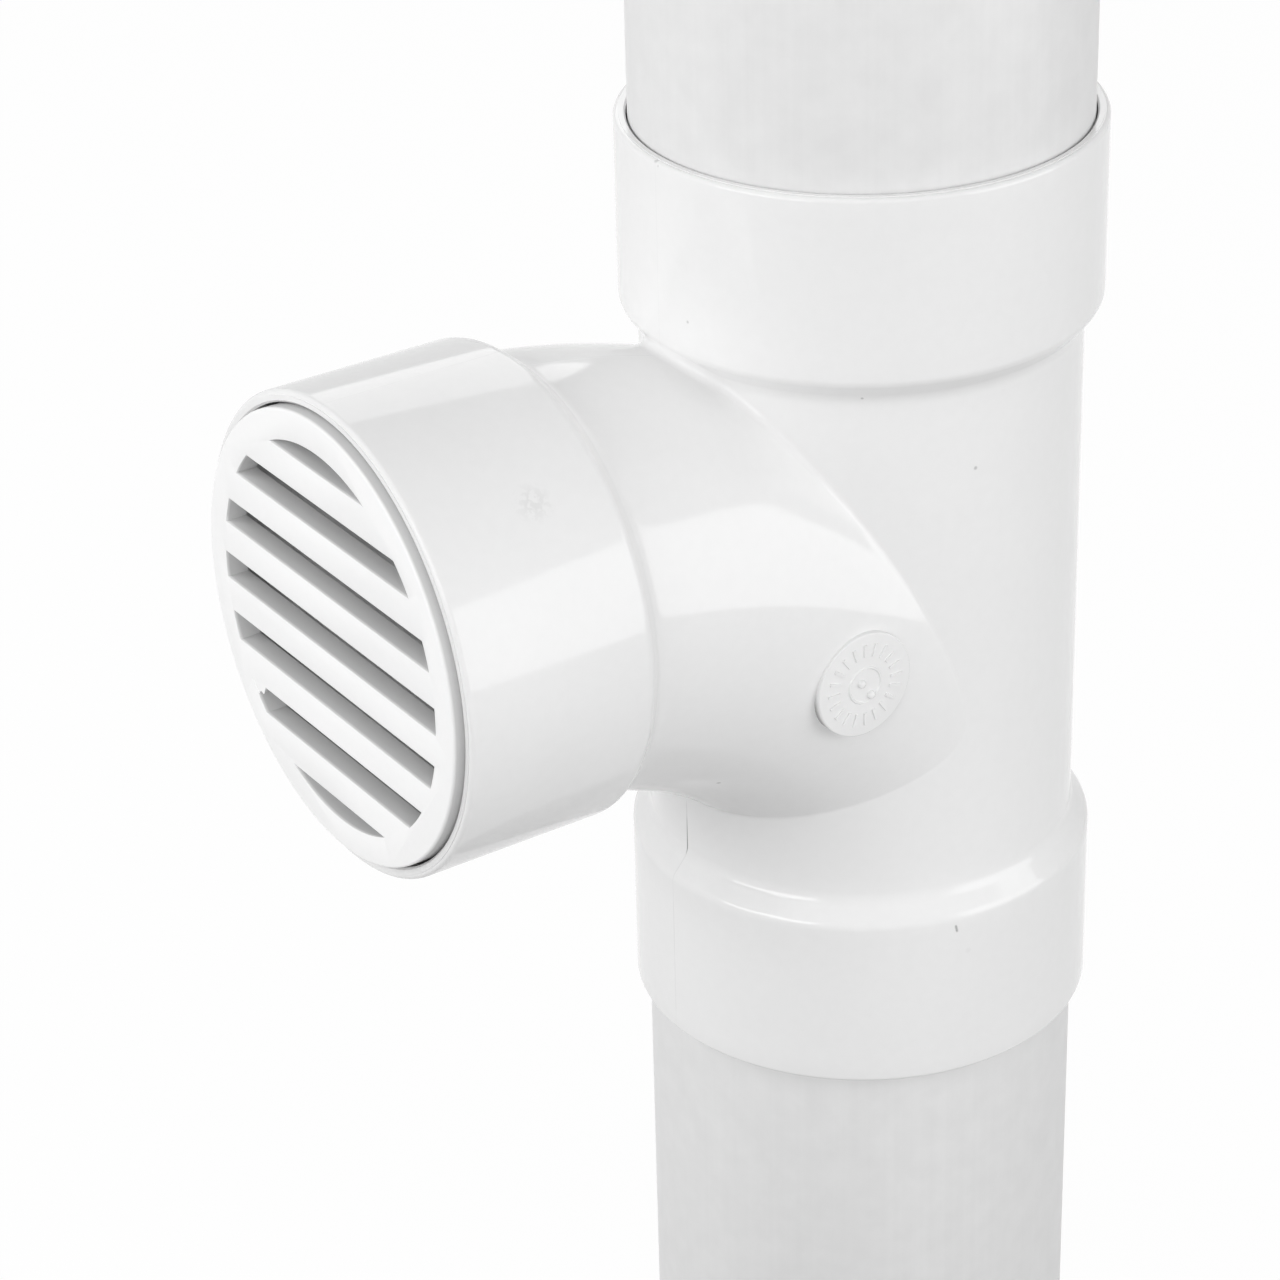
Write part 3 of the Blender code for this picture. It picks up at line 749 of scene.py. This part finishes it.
def pad_surface(nodes, place):
    """The pad's moulding, with painted shade in the corner under its lower half."""
    tone, gloss, height = moulded(nodes, place)
    out, _, up = nodes.add("ShaderNodeSeparateXYZ", {0: place}).outputs
    sizes = bpy.context.scene.tee_sizes
    face = TeeShape(sizes).branch_radius + sizes.pad_proud
    middle = BRANCH_Z - sizes.pad_drop
    # painted shade: the pad's side wall darkens towards its foot, most under its lower half
    pad_shade = nodes.times(nodes.ramp(out, face - PAD_SHADE_DEEP, face - PAD_SHADE_SHALLOW, PAD_SHADE_DARKNESS, 0.0),
                        nodes.ramp(up, middle - PAD_SHADE_LOW, middle + PAD_SHADE_HIGH, 1.0, 0.0))
    return nodes.darkened(tone, pad_shade), gloss, height


def pipe_surface(nodes, place):
    """Satin skin of a drawn pipe: fine lines along it and cloudy mottling."""
    stretch = (LINES_ACROSS, LINES_ACROSS, LINES_ALONG)
    drawn = nodes.add("ShaderNodeMapping", {"Vector": place, "Scale": stretch}).outputs[0]
    lines, cloud = nodes.noise(drawn, 1.0, 3.0), nodes.noise(place, CLOUD, 4.0)
    tone = nodes.plus(nodes.swing(lines, LINES_TONE, 0.999), nodes.swing(cloud, CLOUD_TONE))
    return tone, nodes.swing(lines, LINES_GLOSS, 0.005), nodes.times(lines, LINES_HEIGHT)


def new_tree(name, values):
    """Geometry Nodes tree with a geometry input, one named input for each value and a geometry output."""
    tree = bpy.data.node_groups.new(name, "GeometryNodeTree")
    tree.interface.new_socket("Base", in_out="INPUT", socket_type="NodeSocketGeometry")
    for label, value in values.items():
        socket = tree.interface.new_socket(label, in_out="INPUT", socket_type=SOCKET_KINDS[type(value)])
        socket.default_value = value
    tree.interface.new_socket("Result", in_out="OUTPUT", socket_type="NodeSocketGeometry")
    nodes = Nodes(tree)
    return nodes, nodes.add("NodeGroupInput").outputs


def end_tree(nodes, geometry, material):
    """Makes the instances real, gives them the material and returns the finished tree."""
    whole = nodes.add("GeometryNodeRealizeInstances", {"Geometry": geometry}).outputs[0]
    done = nodes.add("GeometryNodeSetMaterial", {"Geometry": whole, "Material": material}).outputs[0]
    nodes.add("NodeGroupOutput", {0: done})
    return nodes.tree


def grown(context, base, tree, values):
    """Runs a Geometry Nodes tree on a mesh, with its inputs set by name, and returns the plain mesh."""
    carrier = bpy.data.objects.new(base.name, base)
    context.scene.collection.objects.link(carrier)
    modifier = carrier.modifiers.new(tree.name, "NODES")
    modifier.node_group = tree
    for socket in tree.interface.items_tree:
        if socket.name in values:
            modifier[socket.identifier] = values[socket.name]
    context.view_layer.update()
    data = bpy.data.meshes.new_from_object(carrier.evaluated_get(context.evaluated_depsgraph_get()))
    carrier.modifiers.clear()
    bpy.data.objects.remove(carrier)
    bpy.data.meshes.remove(base)
    return data


class TEE_OT_moulding(bpy.types.Operator):
    """Build the tee moulding: run, swept branch and three sockets"""
    bl_idname = "tee.moulding"
    bl_label = "Tee Moulding"

    def execute(self, context):
        shape = TeeShape(context.scene.tee_sizes)
        skin = tee_skin(shape)
        builder = bmesh.new()
        corners = [builder.verts.new(place) for place in skin.places]
        for face in skin.faces:
            builder.faces.new([corners[index] for index in face])
        builder.verts.index_update()
        data = mesh_of(builder, "tee_moulding")
        self.set_exact_normals(data, skin.normals)
        finish = context.scene.tee_finish
        material = plastic("glossy_moulding", finish.tee_colour[:], finish.tee_roughness, tee_surface)
        piece("tee_moulding", data, material, "tee_gloss_white", "tee_body")
        return {"FINISHED"}

    def set_exact_normals(self, data, exact):
        """Gives the turned skin its true normals, wherever the shading is smooth."""
        normals = np.empty(len(data.loops) * 3)
        data.corner_normals.foreach_get("vector", normals)
        normals = normals.reshape(-1, 3)
        corners = np.empty(len(data.loops), int)
        data.loops.foreach_get("vertex_index", corners)
        table = np.full((len(data.vertices), 3), np.nan)
        table[list(exact)] = list(exact.values())
        true = table[corners]
        close = (true * normals).sum(axis=1) > SAME_SIDE
        normals[close] = true[close]
        data.normals_split_custom_set(normals.tolist())


class TEE_OT_marking_pad(bpy.types.Operator):
    """Build the marking pad on the side of the branch, bare but for a ring, two pips and plain ticks"""
    bl_idname = "tee.marking_pad"
    bl_label = "Marking Pad"

    def execute(self, context):
        sizes = context.scene.tee_sizes
        finish = context.scene.tee_finish
        radius = TeeShape(sizes).branch_radius
        material = plastic("glossy_pad", finish.tee_colour[:], finish.tee_roughness, pad_surface)
        builder = bmesh.new()
        root = sqrt(radius ** 2 - (sizes.pad_radius + ROOT_SPREAD) ** 2) - ROOT_SINK
        face = radius + sizes.pad_proud
        middle = Vector((0, -sizes.pad_forward, -sizes.pad_drop))

        def sideways(across, up, along):
            return middle + Vector((along, across, up))

        ring, relief, width = sizes.pad_ring, sizes.pad_relief, sizes.tick_width
        outline = profile([
            (0, face, 0),
            (ring - width / 2, face, 0),
            (ring - width / 5, face + relief, RING_EDGE),
            (ring + width / 5, face + relief, RING_EDGE),
            (ring + width / 2, face, 0),
            (sizes.pad_radius, face, PAD_EDGE),
            (sizes.pad_radius, root, 0),
            (0, root, 0),
        ], FINE_STEPS)
        lathe(builder, outline, circle(PAD_SIDES), sideways)
        pip = profile([
            (0, face + 3 * relief, 0),
            (sizes.pip_radius, face + 3 * relief, sizes.pip_radius * 0.8),
            (sizes.pip_radius, face - relief, 0),
            (0, face - relief, 0),
        ], FINE_STEPS + 1)
        for across, up in PIPS:
            lathe(builder, pip, circle(PIP_SIDES),
                  lambda x, z, along: sideways(x + across, z + up, along))
        ticks = self.ticks(context, sizes, material)
        for corner in ticks.vertices:
            across, up, out = corner.co
            corner.co = sideways(across, up, face + out)
        builder.from_mesh(ticks)
        bpy.data.meshes.remove(ticks)
        piece("marking_pad", mesh_of(builder, "marking_pad"), material, "tee_gloss_white")
        return {"FINISHED"}

    def ticks(self, context, sizes, material):
        """Flat ring of short bars that point to its middle."""
        values = {
            "Tick Count": sizes.tick_count,
            "Circle Radius": sizes.tick_circle,
            "Tick Length": sizes.tick_length,
            "Tick Width": sizes.tick_width,
            "Tick Height": 2 * sizes.pad_relief,
        }
        nodes, given = new_tree("pad_ticks", values)
        ring = nodes.add("GeometryNodeMeshCircle", {"Vertices": given["Tick Count"],
                                                    "Radius": given["Circle Radius"]}).outputs[0]
        step = nodes.math("DIVIDE", 2 * pi, given["Tick Count"])
        index = nodes.add("GeometryNodeInputIndex").outputs[0]
        turn = nodes.add("ShaderNodeCombineXYZ", {"Z": nodes.times(index, step)}).outputs[0]
        size = nodes.add("ShaderNodeCombineXYZ", {"X": given["Tick Length"], "Y": given["Tick Width"],
                                                  "Z": given["Tick Height"]}).outputs[0]
        bar = nodes.add("GeometryNodeMeshCube", {"Size": size}).outputs[0]
        bars = nodes.add("GeometryNodeInstanceOnPoints", {"Points": ring, "Instance": bar,
                                                          "Rotation": turn}).outputs[0]
        return grown(context, bpy.data.meshes.new("pad_ticks"), end_tree(nodes, bars, material), values)


class TEE_OT_grille(bpy.types.Operator):
    """Build the push-in grille with its level slots"""
    bl_idname = "tee.grille"
    bl_label = "Slotted Grille"

    def execute(self, context):
        sizes = context.scene.tee_sizes
        finish = context.scene.tee_finish
        material = plastic("grille_moulding", finish.grille_colour[:], finish.grille_roughness,
                           grille_surface)
        socket_bore = TeeShape(sizes).socket_bore
        head, skirt = socket_bore - sizes.grille_gap, socket_bore - sizes.grille_fit
        bore = skirt - sizes.grille_skirt_wall
        face, end = RUN_Y - GRILLE_LOW.y, RUN_Y - GRILLE_HIGH.y
        shoulder, back = face - sizes.grille_head_depth, face - sizes.grille_plate
        outline = profile([
            (head - FACE_RING, face, 0),
            (head, face, sizes.grille_edge),
            (head, shoulder, 0),
            (skirt, shoulder - (skirt - head), 0),
            (skirt, end, 0),
            (bore, end, 0),
            (bore, back, 0),
        ], FINE_STEPS + 1)
        builder = bmesh.new()
        turns = circle(GRILLE_SIDES)
        rings = [[builder.verts.new((radius * sin(turn), -along, radius * cos(turn))) for turn in turns]
                 for radius, along in outline]
        for near, far in zip(rings, rings[1:]):
            for quad in quads(near, far):
                builder.faces.new(quad)
        builder.faces.new(rings[0])
        builder.faces.new(rings[-1][::-1])
        values = {
            "Slot Count": sizes.slot_count,
            "Slot Pitch": sizes.slot_pitch,
            "Slot Width": sizes.slot_width,
            "Field Radius": sizes.slot_field_radius,
            "Cut Depth": 2 * sizes.grille_plate + CUT_OVERLAP,
            "Face": (0.0, GRILLE_LOW.y, BRANCH_Z),
        }
        tree = self.slot_tree(material, values)
        data = grown(context, mesh_of(builder, "grille_insert"), tree, values)
        self.soften_slots(data, sizes)
        piece("grille_insert", data, material, "grille_white", "grille")
        self.flash(material)
        return {"FINISHED"}

    def flash(self, material):
        """Thin web of flash that fills one corner of the sixth slot."""
        builder = bmesh.new()
        face = GRILLE_LOW.y - RUN_Y
        front, back = [[builder.verts.new((across, face + depth, up)) for across, up in FLASH_OUTLINE]
                       for depth in FLASH_DEPTH]
        builder.faces.new(front)
        builder.faces.new(back[::-1])
        for quad in quads(front, back):
            builder.faces.new(quad)
        piece("slot_flash", mesh_of(builder, "slot_flash"), material, "grille_white")

    def slot_tree(self, material, values):
        """Row of bars, cut off by one cylinder and taken out of the blank."""
        nodes, given = new_tree("slotted_grille", values)
        span = nodes.times(given["Slot Pitch"], nodes.math("SUBTRACT", given["Slot Count"], 1.0))
        first = nodes.add("ShaderNodeCombineXYZ", {"Z": nodes.times(span, -0.5)}).outputs[0]
        step = nodes.add("ShaderNodeCombineXYZ", {"Z": given["Slot Pitch"]}).outputs[0]
        row = nodes.add("GeometryNodeMeshLine", {"Count": given["Slot Count"], "Start Location": first,
                                                 "Offset": step}, mode="OFFSET").outputs[0]
        width = nodes.times(given["Field Radius"], BAR_OVERLAP)
        size = nodes.add("ShaderNodeCombineXYZ", {"X": width, "Y": given["Cut Depth"],
                                                  "Z": given["Slot Width"]}).outputs[0]
        bar = nodes.add("GeometryNodeMeshCube", {"Size": size}).outputs[0]
        bars = nodes.add("GeometryNodeInstanceOnPoints", {"Points": row, "Instance": bar}).outputs[0]
        bars = nodes.add("GeometryNodeRealizeInstances", {"Geometry": bars}).outputs[0]
        field = nodes.add("GeometryNodeMeshCylinder", {"Vertices": GRILLE_SIDES,
                                                       "Radius": given["Field Radius"],
                                                       "Depth": given["Cut Depth"]}).outputs[0]
        field = nodes.add("GeometryNodeTransform", {"Geometry": field,
                                                    "Rotation": (pi / 2, 0, 0)}).outputs[0]
        cutters = nodes.add("GeometryNodeMeshBoolean", operation="INTERSECT", solver="EXACT")
        for part in (bars, field):
            nodes.tree.links.new(part, cutters.inputs[1])
        placed = nodes.add("GeometryNodeTransform", {"Geometry": cutters.outputs[0],
                                                     "Translation": given["Face"]}).outputs[0]
        cut = nodes.add("GeometryNodeMeshBoolean", {0: given["Base"], 1: placed}, operation="DIFFERENCE",
                        solver="EXACT").outputs[0]
        return end_tree(nodes, cut, material)

    def soften_slots(self, data, sizes):
        """Rounds the front edges of the slots a little."""
        builder = bmesh.new()
        builder.from_mesh(data)
        bmesh.ops.remove_doubles(builder, verts=builder.verts, dist=SAME_PLACE)
        bmesh.ops.dissolve_limit(builder, angle_limit=NEARLY_FLAT, verts=builder.verts,
                                 edges=builder.edges)
        front = GRILLE_LOW.y
        rim = sizes.slot_field_radius + CUT_OVERLAP
        edges = [edge for edge in builder.edges if len(edge.link_faces) == 2
                 and all(abs(corner.co.y - front) < SAME_FACE for corner in edge.verts)
                 and all(hypot(corner.co.x, corner.co.z - BRANCH_Z) < rim for corner in edge.verts)
                 and edge.calc_face_angle() > CORNER_ANGLE]
        bmesh.ops.bevel(builder, geom=edges, offset=sizes.slot_edge, segments=2, profile=0.5, affect="EDGES",
                        clamp_overlap=True)
        builder.to_mesh(data)
        builder.free()
        data.shade_smooth()
        data.set_sharp_from_angle(angle=SHARP_ANGLE)


class TEE_OT_pipes(bpy.types.Operator):
    """Build the two cemented pipe lengths"""
    bl_idname = "tee.pipes"
    bl_label = "Pipe Lengths"

    def execute(self, context):
        sizes = context.scene.tee_sizes
        finish = context.scene.tee_finish
        material = plastic("drawn_pipe", finish.pipe_colour[:], finish.pipe_roughness, pipe_surface)
        outer, bore, edge = sizes.pipe_radius, sizes.pipe_radius - sizes.pipe_wall, sizes.pipe_edge
        for name, node in (("upper_pipe_length", "upper_pipe"), ("lower_pipe_length", "lower_pipe")):
            low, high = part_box(node)
            start, end = low.z - BRANCH_Z, high.z - BRANCH_Z
            corners = [(outer, start, edge), (outer, end, edge), (bore, end, edge), (bore, start, edge)]
            builder = bmesh.new()
            lathe(builder, profile(corners, FINE_STEPS), circle(sizes.sides),
                  lambda across, up, along: (across, up, along))
            piece(name, mesh_of(builder, name), material, "pipe_satin_white", node)
        return {"FINISHED"}


class TEE_OT_stage(bpy.types.Operator):
    """Set the pale floor, the soft light and the photograph's camera"""
    bl_idname = "tee.stage"
    bl_label = "Stage"

    def execute(self, context):
        scene = context.scene
        scene.view_settings.view_transform = "Standard"
        self.floor()
        self.world(scene)
        for name, azimuth, elevation, *box in LAMPS:
            self.lamp(name, radians(azimuth), radians(elevation), *box)
        camera = bpy.data.objects.new("photo_camera", bpy.data.cameras.new("photo_camera"))
        camera.data.lens = CAMERA_LENS
        camera.data.sensor_width = CAMERA_SENSOR
        camera.data.clip_start = CAMERA_NEAR
        camera.matrix_world = self.camera_place()
        scene.collection.objects.link(camera)
        scene.camera = camera
        return {"FINISHED"}

    def camera_place(self):
        flat = cos(CAMERA_ELEVATION)
        back = Vector((flat * sin(CAMERA_AZIMUTH), -flat * cos(CAMERA_AZIMUTH), sin(CAMERA_ELEVATION)))
        right = Vector((cos(CAMERA_AZIMUTH), sin(CAMERA_AZIMUTH), 0))
        up = back.cross(right)
        turned_right = right * cos(CAMERA_ROLL) + up * sin(CAMERA_ROLL)
        turned_up = up * cos(CAMERA_ROLL) - right * sin(CAMERA_ROLL)
        axes = Matrix((turned_right, turned_up, back)).transposed().to_4x4()
        return Matrix.Translation(CAMERA_PLACE + HOME) @ axes

    def floor(self):
        """Pale floor that keeps the shadow: bright to the camera and in reflections, a quiet bounce."""
        builder = bmesh.new()
        bmesh.ops.create_grid(builder, x_segments=1, y_segments=1, size=FLOOR_HALF)
        data = bpy.data.meshes.new("floor")
        builder.to_mesh(data)
        builder.free()
        material = bpy.data.materials.new("pale_floor")
        material.use_nodes = True
        nodes = Nodes(material.node_tree)
        finish = bpy.context.scene.tee_finish
        shader = material.node_tree.nodes["Principled BSDF"]
        seen = self.seen(nodes)
        paint = nodes.add("ShaderNodeMix", {0: seen, 6: (*finish.floor_bounce, 1.0),
                                            7: (*finish.floor_colour, 1.0)}, data_type="RGBA").outputs[2]
        nodes.tree.links.new(paint, shader.inputs["Base Color"])
        shader.inputs["Roughness"].default_value = FLOOR_ROUGHNESS
        glow = nodes.add("ShaderNodeEmission", {"Color": (1.0, 1.0, 1.0, 1.0), "Strength": 1.0}).outputs[0]
        lift = nodes.times(seen, FLOOR_LIFT)
        mixed = nodes.add("ShaderNodeMixShader", {0: lift, 1: shader.outputs[0], 2: glow}).outputs[0]
        nodes.tree.links.new(mixed, material.node_tree.nodes["Material Output"].inputs[0])
        data.materials.append(material)
        floor = bpy.data.objects.new("floor", data)
        bpy.context.scene.collection.objects.link(floor)

    def seen(self, nodes):
        """1 for rays that show the background: from the camera, in a reflection or through glass."""
        rays = nodes.add("ShaderNodeLightPath").outputs
        direct = nodes.math("MAXIMUM", rays["Is Camera Ray"], rays["Is Glossy Ray"])
        return nodes.math("MAXIMUM", direct, rays["Is Transmission Ray"])

    def world(self, scene):
        world = bpy.data.worlds.new("soft_room")
        world.use_nodes = True
        scene.world = world
        nodes = Nodes(world.node_tree)
        sky = world.node_tree.nodes["Background"]
        seen = self.seen(nodes)
        sky.inputs["Color"].default_value = (1.0, 1.0, 1.0, 1.0)
        world.node_tree.links.new(nodes.ramp(seen, 0.0, 1.0, ROOM_LIGHT, 1.0), sky.inputs["Strength"])

    def lamp(self, name, azimuth, elevation, distance, width, height, radiance, in_gloss):
        """Upright soft box that faces the tee; azimuth is counted from +X towards +Y."""
        flat = distance * cos(elevation)
        place = Vector((flat * cos(azimuth), flat * sin(azimuth), distance * sin(elevation)))
        light = bpy.data.lights.new(name, "AREA")
        light.shape = "RECTANGLE"
        light.size = width
        light.size_y = height
        light.energy = radiance * pi * width * height
        item = bpy.data.objects.new(name, light)
        item.location = place + HOME
        item.rotation_euler = (-place).to_track_quat("-Z", "Y").to_euler()
        item.visible_glossy = in_gloss
        bpy.context.scene.collection.objects.link(item)


class TEE_PT_panel(bpy.types.Panel):
    """Lists the tee's pieces, sizes and finishes."""
    bl_label = "Sanitary Tee"
    bl_idname = "TEE_PT_panel"
    bl_space_type = "VIEW_3D"
    bl_region_type = "UI"
    bl_category = "Tee"

    def draw(self, context):
        layout = self.layout
        for operator in OPERATORS:
            layout.operator(operator.bl_idname)
        for group in (context.scene.tee_sizes, context.scene.tee_finish):
            box = layout.box()
            for name in group.__annotations__:
                box.prop(group, name)


OPERATORS = (TEE_OT_moulding, TEE_OT_marking_pad, TEE_OT_grille, TEE_OT_pipes, TEE_OT_stage)
CLASSES = (TeeSizes, TeeFinish, *OPERATORS, TEE_PT_panel)


def register():
    for item in CLASSES:
        bpy.utils.register_class(item)
    bpy.types.Scene.tee_sizes = PointerProperty(type=TeeSizes)
    bpy.types.Scene.tee_finish = PointerProperty(type=TeeFinish)


def unregister():
    del bpy.types.Scene.tee_finish
    del bpy.types.Scene.tee_sizes
    for item in reversed(CLASSES):
        bpy.utils.unregister_class(item)


def main():
    register()
    bpy.ops.tee.moulding()
    bpy.ops.tee.marking_pad()
    bpy.ops.tee.grille()
    bpy.ops.tee.pipes()
    bpy.ops.tee.stage()


if __name__ == "__main__":
    main()
